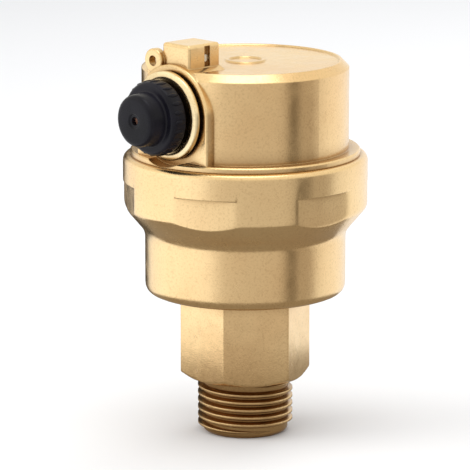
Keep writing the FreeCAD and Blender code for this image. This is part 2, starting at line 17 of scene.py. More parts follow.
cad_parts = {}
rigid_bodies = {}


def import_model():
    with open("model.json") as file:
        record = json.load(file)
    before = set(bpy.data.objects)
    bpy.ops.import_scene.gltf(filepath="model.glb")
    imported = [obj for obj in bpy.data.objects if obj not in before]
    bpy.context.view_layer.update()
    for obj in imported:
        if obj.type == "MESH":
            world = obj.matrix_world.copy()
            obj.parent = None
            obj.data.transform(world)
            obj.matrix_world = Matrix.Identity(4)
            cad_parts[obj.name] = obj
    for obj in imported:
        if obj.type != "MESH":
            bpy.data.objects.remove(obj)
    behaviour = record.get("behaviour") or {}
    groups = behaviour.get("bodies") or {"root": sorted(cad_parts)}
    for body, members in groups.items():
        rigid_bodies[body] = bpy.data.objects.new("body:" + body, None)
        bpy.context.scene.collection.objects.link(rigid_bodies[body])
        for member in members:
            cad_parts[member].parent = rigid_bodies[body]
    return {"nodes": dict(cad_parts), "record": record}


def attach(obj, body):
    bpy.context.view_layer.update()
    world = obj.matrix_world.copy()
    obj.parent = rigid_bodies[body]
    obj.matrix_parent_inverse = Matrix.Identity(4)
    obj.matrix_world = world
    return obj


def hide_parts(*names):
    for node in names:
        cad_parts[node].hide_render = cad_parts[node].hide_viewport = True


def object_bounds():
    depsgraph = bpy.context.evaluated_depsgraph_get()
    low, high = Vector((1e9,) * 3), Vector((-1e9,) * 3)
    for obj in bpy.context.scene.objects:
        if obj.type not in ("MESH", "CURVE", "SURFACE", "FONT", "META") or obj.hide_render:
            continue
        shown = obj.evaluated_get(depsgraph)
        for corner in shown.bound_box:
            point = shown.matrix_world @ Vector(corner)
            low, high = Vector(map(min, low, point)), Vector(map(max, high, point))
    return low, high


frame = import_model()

MM = 0.001
nodes = frame["nodes"]
cad_low, cad_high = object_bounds()
print("pieces in the frame:", len(nodes))
print("size in mm:", [round(side / MM, 1) for side in cad_high - cad_low])

# %% [markdown]
# ## The camera
#
# A small fitting looks right from well back through a long lens, because the hexagon and the drum
# then keep their proportions. We stand 46 degrees round from the outlet and 12 degrees above the
# horizon, and work the distance out from the vent's height so that it fills most of the frame.

# %% Camera
VIEW_AZIMUTH = math.radians(46)
VIEW_ELEVATION = math.radians(12)
LENS_MM = 300
SENSOR_MM = 36
FRAME_FILL = 0.86
CLIP_NEAR, CLIP_FAR = 0.05, 20


def towards(azimuth, elevation):
    """Unit vector from the vent to a viewer. Azimuth 0 is in front of the outlet."""
    level = math.cos(elevation)
    return Vector((math.sin(azimuth) * level, -math.cos(azimuth) * level, math.sin(elevation)))


def aim(thing, target):
    """Turn a camera or a light so that it looks at a point."""
    thing.rotation_euler = (target - thing.location).to_track_quat("-Z", "Y").to_euler()


vent_middle = (cad_low + cad_high) / 2
vent_height = cad_high.z - cad_low.z
back = towards(VIEW_AZIMUTH, VIEW_ELEVATION)
distance = vent_height / FRAME_FILL * LENS_MM / SENSOR_MM
camera = bpy.data.objects.new("camera", bpy.data.cameras.new("camera"))
bpy.context.scene.collection.objects.link(camera)
camera.data.lens = LENS_MM
camera.data.sensor_width = SENSOR_MM
camera.data.clip_start = CLIP_NEAR
camera.data.clip_end = CLIP_FAR
camera.location = vent_middle + back * distance
aim(camera, vent_middle)
bpy.context.scene.camera = camera
print("camera distance:", round(distance, 3), "m")

# %% [markdown]
# ## Small helpers
#
# Every finish and every rule below is a tree of nodes, built in code. A handful of helpers keeps
# that short: one links a socket or sets a plain value, the others add a single node and give back
# its result. They work alike in a material's tree and in a Geometry Nodes tree.

# %% Objects and materials
def new_object(name, mesh):
    """Link a mesh as a new object at the origin."""
    made = bpy.data.objects.new(name, mesh)
    bpy.context.scene.collection.objects.link(made)
    return made


def start_material(name, shader_kind="ShaderNodeBsdfPrincipled"):
    """A material with an empty tree, its output and its main shader."""
    material = bpy.data.materials.new(name)
    material.use_nodes = True
    tree = material.node_tree
    tree.nodes.clear()
    output = tree.nodes.new("ShaderNodeOutputMaterial")
    shader = tree.nodes.new(shader_kind)
    tree.links.new(shader.outputs[0], output.inputs["Surface"])
    return material, tree, shader


print("materials that came with the design:", len(bpy.data.materials))

# %% Single nodes
MIX_FACTOR, MIX_FIRST, MIX_SECOND, MIX_COLOUR = 0, 6, 7, 2


def feed(tree, target, value):
    """Link a socket, or set a plain value."""
    if isinstance(value, bpy.types.NodeSocket):
        tree.links.new(value, target)
    else:
        target.default_value = value


def maths(tree, operation, *values):
    """Maths node on sockets or numbers."""
    made = tree.nodes.new("ShaderNodeMath")
    made.operation = operation
    for socket, value in zip(made.inputs, values):
        feed(tree, socket, value)
    return made.outputs[0]


def place(tree, kind, **settings):
    """Add a node. Names of inputs take a value or a socket to link from."""
    made = tree.nodes.new(kind)
    for key, value in settings.items():
        feed(tree, made.inputs[key.replace("_", " ")], value)
    return made


def blend(tree, factor, first, second):
    """Colour between two colours or sockets."""
    mix = tree.nodes.new("ShaderNodeMix")
    mix.data_type = "RGBA"
    for socket, value in ((MIX_FACTOR, factor), (MIX_FIRST, first), (MIX_SECOND, second)):
        feed(tree, mix.inputs[socket], value)
    return mix.outputs[MIX_COLOUR]


def spread(tree, value, low, high, to_low=0.0, to_high=1.0):
    """Map a value's range to another, clamped."""
    made = tree.nodes.new("ShaderNodeMapRange")
    for socket, number in zip(made.inputs, (value, low, high, to_low, to_high)):
        feed(tree, socket, number)
    return made.outputs[0]


print("single-node helpers:", ", ".join(made.__name__ for made in (maths, place, blend, spread)))

# %% [markdown]
# ## Floor, room and lamps
#
# The vent stands on one big pale sheet. A pale room lights it evenly, and three soft boxes add a
# gentle direction: one high on the left, one overhead and one behind that lifts the far edge. Their
# power is a watt or so each, because the vent is only 7 cm tall and they stand 60 cm away.

# %% Floor and room
FLOOR_SIDE = 4.0
FLOOR_WHITE = (0.90, 0.90, 0.90, 1)
FLOOR_ROUGHNESS = 0.85
ROOM_COLOUR = (0.97, 0.98, 1.0, 1)
ROOM_STRENGTH = 0.66

reach = FLOOR_SIDE / 2
corners = [(-reach, -reach), (reach, -reach), (reach, reach), (-reach, reach)]
floor_mesh = bpy.data.meshes.new("floor")
floor_mesh.from_pydata([(x, y, cad_low.z) for x, y in corners], [], [(0, 1, 2, 3)])
floor = new_object("floor", floor_mesh)
floor_paper, _, floor_shader = start_material("floor_paper")
floor_shader.inputs["Base Color"].default_value = FLOOR_WHITE
floor_shader.inputs["Roughness"].default_value = FLOOR_ROUGHNESS
floor.data.materials.append(floor_paper)

world = bpy.data.worlds.new("studio")
bpy.context.scene.world = world
world.use_nodes = True
room = world.node_tree.nodes["Background"]
room.inputs["Color"].default_value = ROOM_COLOUR
room.inputs["Strength"].default_value = ROOM_STRENGTH
print("floor at", round(cad_low.z / MM, 1), "mm, room strength", ROOM_STRENGTH)

# %% Lamps
LAMP_DISTANCE = 0.60
SOFTBOXES = [
    # name, azimuth and elevation in degrees, width and height in metres, watts
    ("box_left", -35, 35, 0.36, 0.40, 1.3),
    ("box_top", 60, 78, 0.45, 0.45, 1.4),
    ("box_back", 200, 40, 0.30, 0.40, 0.8),
]


def softbox(name, azimuth, elevation, width, height, watts):
    """Rectangular lamp that faces the vent from a direction given in degrees."""
    data = bpy.data.lights.new(name, "AREA")
    data.shape = "RECTANGLE"
    data.size = width
    data.size_y = height
    data.energy = watts
    lamp = bpy.data.objects.new(name, data)
    bpy.context.scene.collection.objects.link(lamp)
    direction = towards(math.radians(azimuth), math.radians(elevation))
    lamp.location = vent_middle + direction * LAMP_DISTANCE
    aim(lamp, vent_middle)


for box in SOFTBOXES:
    softbox(*box)
bpy.context.scene.view_settings.view_transform = "Standard"
print("lamps:", len(bpy.data.lights))

# %% [markdown]
# ## The light tent
#
# Satin metals show mostly what stands around them, and a plain white room would make brass look
# like beige paint. A studio stands such a fitting in a tent of white and grey cards, so that its
# walls pick up broad pale streaks with a few dark ones between them. Here the tent is a cup of
# glowing card that only reflections can see: it casts no shadow, lights no floor and hides nothing
# from any viewer.
#
# Its grey depends on the direction round the vent, which a Color Ramp reads from the angle of a
# point: a broad pale card from -80 to 10 degrees, a mid grey one up to 85, a narrow dark one at
# 93, a pale one behind and a nearly black one from -143 to -94. Darker cards are warmer, as if
# brass lit them. The ground is darker, for the underside of the cone, and above the walls the tent
# is evenly pale, for the top faces.

# %% Cup of the tent
TENT_RADIUS = 0.062
TENT_TOP = 0.20
TENT_STEPS = 96
TENT_BOTTOM = cad_low.z + 0.0004


def tent_cup():
    """Open cup round the vent: a ring on the floor, a ring at the top, a wall and a bottom."""
    turns = [2 * math.pi * k / TENT_STEPS for k in range(TENT_STEPS)]
    ring = [(math.sin(turn) * TENT_RADIUS, -math.cos(turn) * TENT_RADIUS) for turn in turns]
    places = [(x, y, z) for z in (TENT_BOTTOM, TENT_TOP) for x, y in ring]
    after = [(k + 1) % TENT_STEPS for k in range(TENT_STEPS)]
    wall = [(k, after[k], TENT_STEPS + after[k], TENT_STEPS + k) for k in range(TENT_STEPS)]
    mesh = bpy.data.meshes.new("light_tent")
    mesh.from_pydata(places, [], wall + [tuple(range(TENT_STEPS))])
    return mesh


tent = new_object("light_tent", tent_cup())
print("tent is", round(2 * TENT_RADIUS / MM), "mm across")

# %% Cards of the tent
GROUND_BAND = 0.0003
TENT_GREYS = [
    # direction round the vent in degrees, grey
    (-180, 1.15), (-152, 0.95), (-143, 0.06), (-94, 0.06), (-80, 1.15), (-50, 1.42), (-5, 1.36),
    (10, 1.22), (24, 0.80), (50, 0.72), (78, 0.70), (85, 0.62), (90, 0.22), (96, 0.22), (102, 0.56),
    (110, 0.50), (117, 0.50), (124, 0.92), (140, 1.12), (165, 1.20), (180, 1.15),
]
WARM_TINT = (1.0, 0.84, 0.64)
GROUND_COLOUR = (0.34, 0.2992, 0.2448, 1)
CROWN_COLOUR = (1.05, 1.0185, 0.9135, 1)
CROWN_FROM, CROWN_FULL = 0.050, 0.060


def card_colour(grey):
    """A card's colour: neutral when pale, warmer the darker it is."""
    warmth = max(0.0, 1 - grey)
    return (*[grey * (1 + (tint - 1) * warmth) for tint in WARM_TINT], 1)


def tent_card():
    """Glowing card whose grey follows the direction round the vent."""
    material, tree, glow = start_material("tent_card", "ShaderNodeEmission")
    coords = tree.nodes.new("ShaderNodeTexCoord").outputs["Object"]
    x, y, z = place(tree, "ShaderNodeSeparateXYZ", Vector=coords).outputs
    angle = maths(tree, "ARCTAN2", x, maths(tree, "MULTIPLY", y, -1.0))
    turn = maths(tree, "ADD", maths(tree, "DIVIDE", angle, 2 * math.pi), 0.5)
    ramp = place(tree, "ShaderNodeValToRGB", Fac=turn)
    stops = ramp.color_ramp.elements
    for k, (degrees, grey) in enumerate(TENT_GREYS):
        share = (degrees + 180) / 360
        ready = k < 2    # a new ramp already has two stops
        stop = stops[k] if ready else stops.new(share)
        stop.position = share
        stop.color = card_colour(grey)
    on_ground = maths(tree, "LESS_THAN", z, TENT_BOTTOM + GROUND_BAND)
    lower = blend(tree, on_ground, ramp.outputs[0], GROUND_COLOUR)
    above = spread(tree, z, CROWN_FROM, CROWN_FULL)
    tree.links.new(blend(tree, above, lower, CROWN_COLOUR), glow.inputs["Color"])
    print("cards in the tent:", len(stops))
    return material


tent.data.materials.append(tent_card())
for kind in ("camera", "diffuse", "transmission", "volume_scatter", "shadow"):
    setattr(tent, "visible_" + kind, False)

# %% [markdown]
# ## Brass
#
# The body and cover are hot-forged: red-hot bar is pressed in a die, then tumbled clean. That leaves
# a satin skin with a very fine grain, slight swellings where the die flexed, and colour that drifts
# between straw and pink-brown. Turned faces, such as the seat, are brighter and carry rings from
# the tool. All of it is noise on Object coordinates, because the pieces have no unwrapped surface:
# a noise at about 5 per millimetre for the grain, a slow one for the colour, and one squeezed along
# a single axis for the tool's rings. Corners that the Ambient Occlusion node finds are darkened to
# brown: partly the tarnish that collects where a cloth can't reach, partly painted shade. Noise
# scales below are in cells per metre.

# %% Noise, relief and hollows
BEVEL_SAMPLES = 6
CORNER_SAMPLES = 8


def noise(tree, coords, scale, detail=3.0, stretch=(1, 1, 1)):
    """Noise value on coordinates, squeezed by a stretch on each axis."""
    mapping = place(tree, "ShaderNodeMapping", Vector=coords, Scale=stretch)
    made = place(tree, "ShaderNodeTexNoise", Vector=mapping.outputs[0], Scale=scale, Detail=detail)
    return made.outputs["Fac"]


def relief(tree, shader, layers, soft_edge=0.0):
    """Chain bump layers of (height socket, depth in metres, strength) over softened edges."""
    normal = None
    if soft_edge:
        rounder = tree.nodes.new("ShaderNodeBevel")
        rounder.samples = BEVEL_SAMPLES
        rounder.inputs["Radius"].default_value = soft_edge
        normal = rounder.outputs[0]
    for height, depth, strength in layers:
        bump = place(tree, "ShaderNodeBump", Height=height, Distance=depth, Strength=strength)
        if normal is not None:
            tree.links.new(normal, bump.inputs["Normal"])
        normal = bump.outputs[0]
    tree.links.new(normal, shader.inputs["Normal"])


def hollows(tree, reach):
    """1 in tight corners and 0 on open faces: the mask for painted shade and tarnish in corners."""
    shade = tree.nodes.new("ShaderNodeAmbientOcclusion")
    shade.samples = CORNER_SAMPLES
    shade.inputs["Distance"].default_value = reach
    return spread(tree, shade.outputs["AO"], 0.35, 0.95, 1.0, 0.0)


print("samples for soft edges and for corners:", BEVEL_SAMPLES, CORNER_SAMPLES)

# %% Brass finishes
SATIN_EDGE = 0.25 * MM
CORNER_REACH = 3 * MM
DRIFT_SCALE, SPECKLE_SCALE, WIPED_SCALE = 45, 2600, 420
SWELL_SCALE, SWELL_DEPTH, SWELL_STRENGTH = 240, 0.10 * MM, 0.30
GRAIN_SCALE, GRAIN_DEPTH = 5200, 0.02 * MM
RING_DEPTH, RING_STRENGTH = 0.01 * MM, 0.5


def brass(name, straw, rose, tarnish_and_shade, smooth, rough, grain, tool_rings):
    """Brass with drifting colour, corners darkened as tarnish and painted shade, a satin grain and
    tool rings along an axis.
    """
    material, tree, shader = start_material(name)
    coords = tree.nodes.new("ShaderNodeTexCoord").outputs["Object"]
    drift = spread(tree, noise(tree, coords, DRIFT_SCALE, 3), 0.38, 0.62)
    speckle = spread(tree, noise(tree, coords, SPECKLE_SCALE, 4), 0.50, 0.85, 0.0, 0.30)
    # Painted shade: the Ambient Occlusion mask darkens tight corners towards the dark brown, partly
    # real tarnish and partly painted shade.
    corners = spread(tree, hollows(tree, CORNER_REACH), 0, 1, 0, 0.9)
    colour = blend(tree, speckle, blend(tree, drift, straw, rose), tarnish_and_shade)
    tree.links.new(blend(tree, corners, colour, tarnish_and_shade), shader.inputs["Base Color"])
    shader.inputs["Metallic"].default_value = 1.0
    wiped = noise(tree, coords, WIPED_SCALE, 6)
    tree.links.new(spread(tree, wiped, 0.3, 0.7, smooth, rough), shader.inputs["Roughness"])
    layers = [(noise(tree, coords, SWELL_SCALE, 2), SWELL_DEPTH, SWELL_STRENGTH),
              (noise(tree, coords, GRAIN_SCALE, 3), GRAIN_DEPTH, grain)]
    if tool_rings:
        layers.append((noise(tree, coords, 1, 2, tool_rings), RING_DEPTH, RING_STRENGTH))
    relief(tree, shader, layers, soft_edge=SATIN_EDGE)
    return material


forged_brass = brass(
    "forged_brass", straw=(0.85, 0.62, 0.33, 1), rose=(0.80, 0.55, 0.28, 1),
    tarnish_and_shade=(0.27, 0.14, 0.045, 1), smooth=0.17, rough=0.28, grain=0.45, tool_rings=None)
turned_brass = brass(
    "turned_brass", straw=(0.94, 0.78, 0.50, 1), rose=(0.90, 0.71, 0.43, 1),
    tarnish_and_shade=(0.38, 0.24, 0.10, 1), smooth=0.18, rough=0.28, grain=0.15, tool_rings=(20, 9000, 20))
print("brass finishes:", forged_brass.name, turned_brass.name)

# %% [markdown]
# ## Steel, plastic, rubber and fibre
#
# The works inside are pressed and drawn stainless steel, moulded white plastic, black rubber and
# pressed fibre. Each gets its own grain: long drawing lines on steel, a faint orange-peel on
# mouldings, a dusty bloom on rubber and short hairs in the fibre.

# %% Rules of the other finishes
def drawn_steel():
    """Stainless steel with faint lines along the sheet."""
    material, tree, shader = start_material("stainless_steel")
    coords = tree.nodes.new("ShaderNodeTexCoord").outputs["Object"]
    lines = noise(tree, coords, 1, 4, (9000, 900, 900))
    cloud = spread(tree, noise(tree, coords, 300, 3), 0.3, 0.7)
    tint = blend(tree, cloud, (0.62, 0.62, 0.61, 1), (0.74, 0.74, 0.72, 1))
    tree.links.new(tint, shader.inputs["Base Color"])
    shader.inputs["Metallic"].default_value = 1.0
    tree.links.new(spread(tree, lines, 0.3, 0.7, 0.22, 0.40), shader.inputs["Roughness"])
    relief(tree, shader, [(lines, 0.00001, 0.4)])
    return material


def moulding(name, pale, deep, smooth, rough, peel):
    """Moulded plastic with a slight orange peel and a little variation in gloss."""
    material, tree, shader = start_material(name)
    coords = tree.nodes.new("ShaderNodeTexCoord").outputs["Object"]
    patches = spread(tree, noise(tree, coords, 160, 4), 0.35, 0.65)
    dust = spread(tree, noise(tree, coords, 1500, 5), 0.55, 0.8, 0.0, 0.5)
    colour = blend(tree, patches, deep, pale)
    tree.links.new(blend(tree, dust, colour, pale), shader.inputs["Base Color"])
    tree.links.new(spread(tree, patches, 0, 1, smooth, rough), shader.inputs["Roughness"])
    orange_peel = (noise(tree, coords, 2600, 2), 0.00002, peel)
    sink = (noise(tree, coords, 350, 1), 0.00004, 0.3)
    relief(tree, shader, [orange_peel, sink])
    return material


def pressed_fibre():
    """Red-brown fibre with short hairs lying in its plane."""
    material, tree, shader = start_material("vulcanised_fibre")
    coords = tree.nodes.new("ShaderNodeTexCoord").outputs["Object"]
    hairs = noise(tree, coords, 1, 6, (1500, 9000, 2500))
    colour = blend(tree, hairs, (0.30, 0.12, 0.07, 1), (0.55, 0.27, 0.17, 1))
    tree.links.new(colour, shader.inputs["Base Color"])
    shader.inputs["Roughness"].default_value = 0.85
    relief(tree, shader, [(hairs, 0.00004, 0.7)])
    return material


# %% Steel, plastics, rubber and fibre
CAP_SPECULAR = 0.15

stainless_steel = drawn_steel()
white_plastic = moulding(
    "white_plastic", pale=(0.86, 0.85, 0.80, 1), deep=(0.78, 0.77, 0.71, 1),
    smooth=0.35, rough=0.48, peel=0.3)
black_plastic = moulding(
    "black_plastic", pale=(0.010, 0.009, 0.015, 1), deep=(0.003, 0.003, 0.005, 1),
    smooth=0.24, rough=0.36, peel=0.35)
cap_shader = black_plastic.node_tree.nodes["Principled BSDF"]
cap_shader.inputs["Specular IOR Level"].default_value = CAP_SPECULAR
black_rubber = moulding(
    "black_rubber", pale=(0.035, 0.035, 0.034, 1), deep=(0.014, 0.014, 0.014, 1),
    smooth=0.62, rough=0.80, peel=0.8)
vulcanised_fibre = pressed_fibre()
print("other finishes:", stainless_steel.name, white_plastic.name, black_plastic.name,
      black_rubber.name, vulcanised_fibre.name)

# %% Dress every piece of the design
finishes = {
    "forged_brass": forged_brass, "turned_brass": turned_brass, "stainless_steel": stainless_steel,
    "white_plastic": white_plastic, "black_plastic": black_plastic, "black_rubber": black_rubber,
    "vulcanised_fibre": vulcanised_fibre,
}
for subpart in frame["record"]["subparts"]:
    mesh = nodes[subpart["node"]].data
    mesh.materials.clear()
    mesh.materials.append(finishes[subpart["material_slot"]])
print("finishes given to", len(nodes), "pieces")

# %% [markdown]
# ## Turned shells with soft corners
#
# The body is round nearly everywhere, so it starts as a turned shell: an outline of radius and
# height, spun about the axis. A lathe tool, a forging die and a tumbling barrel all leave rounded
# corners, so each corner of the outline carries its own radius and is bent with a short curve. We
# could bevel the finished mesh instead, but rounding the outline first gives clean rings of
# quads, which shade without dents. The radii and heights are the design's own, in millimetres.

# %% Soft outlines
def line_up(first, second, share):
    """Point between two outline points."""
    return tuple(a + (b - a) * share for a, b in zip(first, second))


def soft_corner(before, corner, after, radius, steps=5):
    """Points of the curve that rounds one corner of an outline."""
    if radius <= 0:
        return [corner]
    lead = min(radius / max(math.dist(before, corner), 1e-9), 0.49)
    trail = min(radius / max(math.dist(corner, after), 1e-9), 0.49)
    start = line_up(corner, before, lead)
    end = line_up(corner, after, trail)
    points = []
    for k in range(steps + 1):
        share = k / steps
        points.append(line_up(line_up(start, corner, share), line_up(corner, end, share), share))
    return points


def soften(outline, longest=None):
    """Outline of (radius, height, corner radius, flat) made into (radius, height, flat) points.
    Stretches that lie on a flat are divided until no step is longer than asked."""
    count = len(outline)
    points = []
    for k, (r, z, radius, flat) in enumerate(outline):
        before, after = outline[k - 1][:2], outline[(k + 1) % count][:2]
        points += [(*p, flat) for p in soft_corner(before, (r, z), after, radius)]
    if longest is None:
        return points
    divided = []
    for k, point in enumerate(points):
        after = points[(k + 1) % len(points)]
        divided.append(point)
        if point[2] and after[2] == point[2]:
            parts = math.ceil(math.dist(point[:2], after[:2]) / longest)
            for i in range(1, parts):
                divided.append((*line_up(point[:2], after[:2], i / parts), point[2]))
    return divided


print("one soft corner has", len(soft_corner((0, 0), (1, 0), (1, 1), 0.2)), "points")

# %% Lathe
WELD = 1e-7


def tidy_mesh(mesh, weld):
    """Merge points that coincide and turn every face outwards."""
    shell = bmesh.new()
    shell.from_mesh(mesh)
    bmesh.ops.remove_doubles(shell, verts=shell.verts, dist=weld)
    bmesh.ops.recalc_face_normals(shell, faces=shell.faces)
    shell.to_mesh(mesh)
    shell.free()


def lathe(name, points, segments, start_angle=0.0):
    """Closed shell of revolution about Z from (radius, height, flat) points in millimetres."""
    count = len(points)
    places = []
    for k in range(segments):
        angle = start_angle + 2 * math.pi * k / segments
        across, away = MM * math.sin(angle), -MM * math.cos(angle)
        places += [(r * across, r * away, z * MM) for r, z, flat in points]
    faces = []
    for k in range(segments):
        here, there = k * count, (k + 1) % segments * count
        for i in range(count):
            up = (i + 1) % count
            faces.append((here + i, there + i, there + up, here + up))
    mesh = bpy.data.meshes.new(name)
    mesh.from_pydata(places, [], faces)
    tidy_mesh(mesh, WELD)
    print(name, "is lathed from", count, "points in", segments, "steps")
    return mesh


def smooth_shade(mesh, sharp_degrees):
    """Smooth shading, with edges sharper than an angle kept crisp."""
    mesh.shade_smooth()
    mesh.set_sharp_from_angle(angle=math.radians(sharp_degrees))


# %% [markdown]
# ## Geometry Nodes helpers
#
# The flats, the threads, the ribs of the cap and the spring all follow a rule, so Geometry Nodes
# make them. Each tree is written here in code. Its sizes are named inputs, which a modifier sets by
# the socket's identifier, and the result is turned into a plain mesh at once.

# %% Geometry Nodes helpers
def start_nodes(name, sizes):
    """A Geometry Nodes tree with a geometry input, named size inputs and a geometry output."""
    tree = bpy.data.node_groups.new(name, "GeometryNodeTree")
    tree.interface.new_socket("Geometry", in_out="INPUT", socket_type="NodeSocketGeometry")
    for label in sizes:
        tree.interface.new_socket(label, in_out="INPUT", socket_type="NodeSocketFloat")
    tree.interface.new_socket("Geometry", in_out="OUTPUT", socket_type="NodeSocketGeometry")
    return tree, tree.nodes.new("NodeGroupInput").outputs, tree.nodes.new("NodeGroupOutput").inputs[0]


def vector(tree, x=0.0, y=0.0, z=0.0):
    """Vector from three numbers or sockets."""
    return place(tree, "ShaderNodeCombineXYZ", X=x, Y=y, Z=z).outputs[0]


def raised(tree, geometry, height):
    """Geometry moved up Z."""
    lift = vector(tree, z=height)
    return place(tree, "GeometryNodeTransform", Geometry=geometry, Translation=lift).outputs[0]


def finish_nodes(tree, geometry, output, finish):
    """End a tree in Realize Instances and Set Material."""
    realize = place(tree, "GeometryNodeRealizeInstances", Geometry=geometry)
    dress = place(tree, "GeometryNodeSetMaterial", Geometry=realize.outputs[0], Material=finish)
    tree.links.new(dress.outputs[0], output)
    print("tree", tree.name, "has", len(tree.nodes), "nodes")


# %% Run a tree
def run_nodes(name, mesh, tree, sizes, finish, sharp_degrees=35):
    """Run a tree on a mesh and keep the result as a plain object."""
    source = new_object(name + "_source", mesh)
    modifier = source.modifiers.new("nodes", "NODES")
    modifier.node_group = tree
    for item in tree.interface.items_tree:
        if item.in_out == "INPUT" and item.name in sizes:
            modifier[item.identifier] = float(sizes[item.name])
    depsgraph = bpy.context.evaluated_depsgraph_get()
    result = bpy.data.meshes.new_from_object(source.evaluated_get(depsgraph))
    source.modifiers.remove(modifier)
    bpy.data.objects.remove(source)
    result.name = name
    smooth_shade(result, sharp_degrees)
    result.materials.clear()
    result.materials.append(finish)
    made = new_object(name, result)
    print(name, "has", len(result.polygons), "faces")
    return made


# %% [markdown]
# ## The forged body
#
# Two sets of six flats are pressed into the round body: the hexagon for the fitting spanner and the
# broad flats under the lip. A flat is a plane at a fixed distance from the axis, so at an angle a
# from its middle the skin can stand no further out than distance / cos(a). The tree below turns
# that rule into points: it takes the smaller of the turned radius and the flat's limit, and a
# Smooth Minimum in place of a plain one leaves the soft edges that a forging has.

# %% Outline of the body
BODY_SEGMENTS = 288
HEX_FLAT = 10.0
HEX_CORNER = HEX_FLAT / math.cos(math.radians(30))
HEX_HEIGHT = 15
HEX_TURN = math.radians(-3.4)
CROWN_FLAT = 20.5
CROWN_TURN = math.radians(26.6)
DRUM_RADIUS = 17.5
CONE_BOTTOM, CONE_TOP = 26, 30.5
LIP_RADIUS = 21.3
LIP_BOTTOM, LIP_TOP = 35.0, 39.5
INLET_BORE = 5.75
INLET_CORE = 7.45
INLET_END = -10
CHAMBER_RADIUS = 15.4
CHAMBER_FLOOR, CHAMBER_SHOULDER = 17.5, 31
COVER_BORE = 18.0
COVER_GROOVE = COVER_BORE + 0.6
COVER_PITCH = 1.5
COVER_TURNS = 4
COVER_FIRST_CREST = 37.4
LONGEST_STEP = 0.45
SEAL_POCKET = 18.9
SEAL_FLOOR = 38

# Each row is a radius, a height, the radius of the soft corner there, and the distance of the flat
# that the row lies on, or 0 where the body is round.
body_outline = [
    (INLET_BORE, INLET_END, 0.25, 0), (7.0, INLET_END, 0.15, 0),
    (INLET_CORE, -9.45, 0.2, 0), (INLET_CORE, 0, 0.3, 0),
    (10.05, 0, 0.15, HEX_FLAT), (HEX_CORNER, 0.87, 0.25, HEX_FLAT),
    (HEX_CORNER, HEX_HEIGHT, 0, HEX_FLAT), (12.3, HEX_HEIGHT, 0.25, 0),
    (DRUM_RADIUS, HEX_HEIGHT, 1.9, 0), (DRUM_RADIUS, CONE_BOTTOM, 1.2, CROWN_FLAT),
    (LIP_RADIUS, CONE_TOP, 0.7, CROWN_FLAT), (LIP_RADIUS, LIP_BOTTOM - 0.07, 0, CROWN_FLAT),
    (LIP_RADIUS, LIP_BOTTOM, 0, 0), (LIP_RADIUS, LIP_TOP, 1.3, 0),
    (SEAL_POCKET, LIP_TOP, 0.2, 0), (SEAL_POCKET, SEAL_FLOOR, 0.1, 0),
    (COVER_BORE, SEAL_FLOOR, 0.15, 0),
]
for turn in range(COVER_TURNS):
    crest = COVER_FIRST_CREST - turn * COVER_PITCH
    body_outline += [(COVER_BORE, crest, 0.05, 0), (COVER_GROOVE, crest - 0.5, 0.05, 0),
                     (COVER_GROOVE, crest - 0.9, 0.05, 0), (COVER_BORE, crest - 1.4, 0.05, 0)]
body_outline += [(COVER_BORE, CHAMBER_SHOULDER, 0.1, 0), (CHAMBER_RADIUS, CHAMBER_SHOULDER, 0.2, 0),
                 (CHAMBER_RADIUS, CHAMBER_FLOOR, 1.8, 0), (INLET_BORE, CHAMBER_FLOOR, 0.5, 0)]
body_points = soften(body_outline, longest=LONGEST_STEP)
body_shell = lathe("body_shell", body_points, BODY_SEGMENTS, HEX_TURN + math.radians(30))
print("outline of the body:", len(body_points), "points")

# %% Rule of the flats
HALF_FLAT = math.radians(30)
NEAR_FLAT = 0.965


def flats_tree(finish):
    """Press six soft flats into a turned shell, between two heights. Points well inside the flats,
    such as those of a bore, are left where they are."""
    tree, sizes, output = start_nodes("pressed_flats", ["Flat", "Turn", "Low", "High", "Softness"])
    here = tree.nodes.new("GeometryNodeInputPosition").outputs[0]
    x, y, z = place(tree, "ShaderNodeSeparateXYZ", Vector=here).outputs
    angle = maths(tree, "ARCTAN2", x, maths(tree, "MULTIPLY", y, -1.0))
    turned = maths(tree, "SUBTRACT", angle, sizes["Turn"])
    from_middle = maths(tree, "WRAP", turned, HALF_FLAT, -HALF_FLAT)
    limit = maths(tree, "DIVIDE", sizes["Flat"], maths(tree, "COSINE", from_middle))
    squares = maths(tree, "ADD", maths(tree, "POWER", x, 2.0), maths(tree, "POWER", y, 2.0))
    radius = maths(tree, "SQRT", squares)
    pressed = maths(tree, "SMOOTH_MIN", radius, limit, sizes["Softness"])
    share = maths(tree, "DIVIDE", pressed, radius)
    above = maths(tree, "GREATER_THAN", z, sizes["Low"])
    below = maths(tree, "LESS_THAN", z, sizes["High"])
    nearly = maths(tree, "MULTIPLY", sizes["Flat"], NEAR_FLAT)
    outside = maths(tree, "GREATER_THAN", radius, nearly)
    chosen = maths(tree, "MULTIPLY", maths(tree, "MULTIPLY", above, below), outside)
    there = vector(tree, maths(tree, "MULTIPLY", x, share), maths(tree, "MULTIPLY", y, share), z)
    move = place(tree, "GeometryNodeSetPosition", Geometry=sizes["Geometry"], Selection=chosen,
                 Position=there)
    finish_nodes(tree, move.outputs[0], output, finish)
    return tree


pressed_flats = flats_tree(forged_brass)

# %% Press the flats
hex_sizes = {"Flat": HEX_FLAT * MM, "Turn": HEX_TURN, "Low": -0.1 * MM, "High": 15.01 * MM,
             "Softness": 0.25 * MM}
crown_sizes = {"Flat": CROWN_FLAT * MM, "Turn": CROWN_TURN, "Low": 25.5 * MM, "High": 34.95 * MM,
               "Softness": 0.18 * MM}
hexed = run_nodes("hexed", body_shell, pressed_flats, hex_sizes, forged_brass)
forged_body = run_nodes("forged_body", hexed.data, pressed_flats, crown_sizes, forged_brass)
bpy.data.objects.remove(hexed)

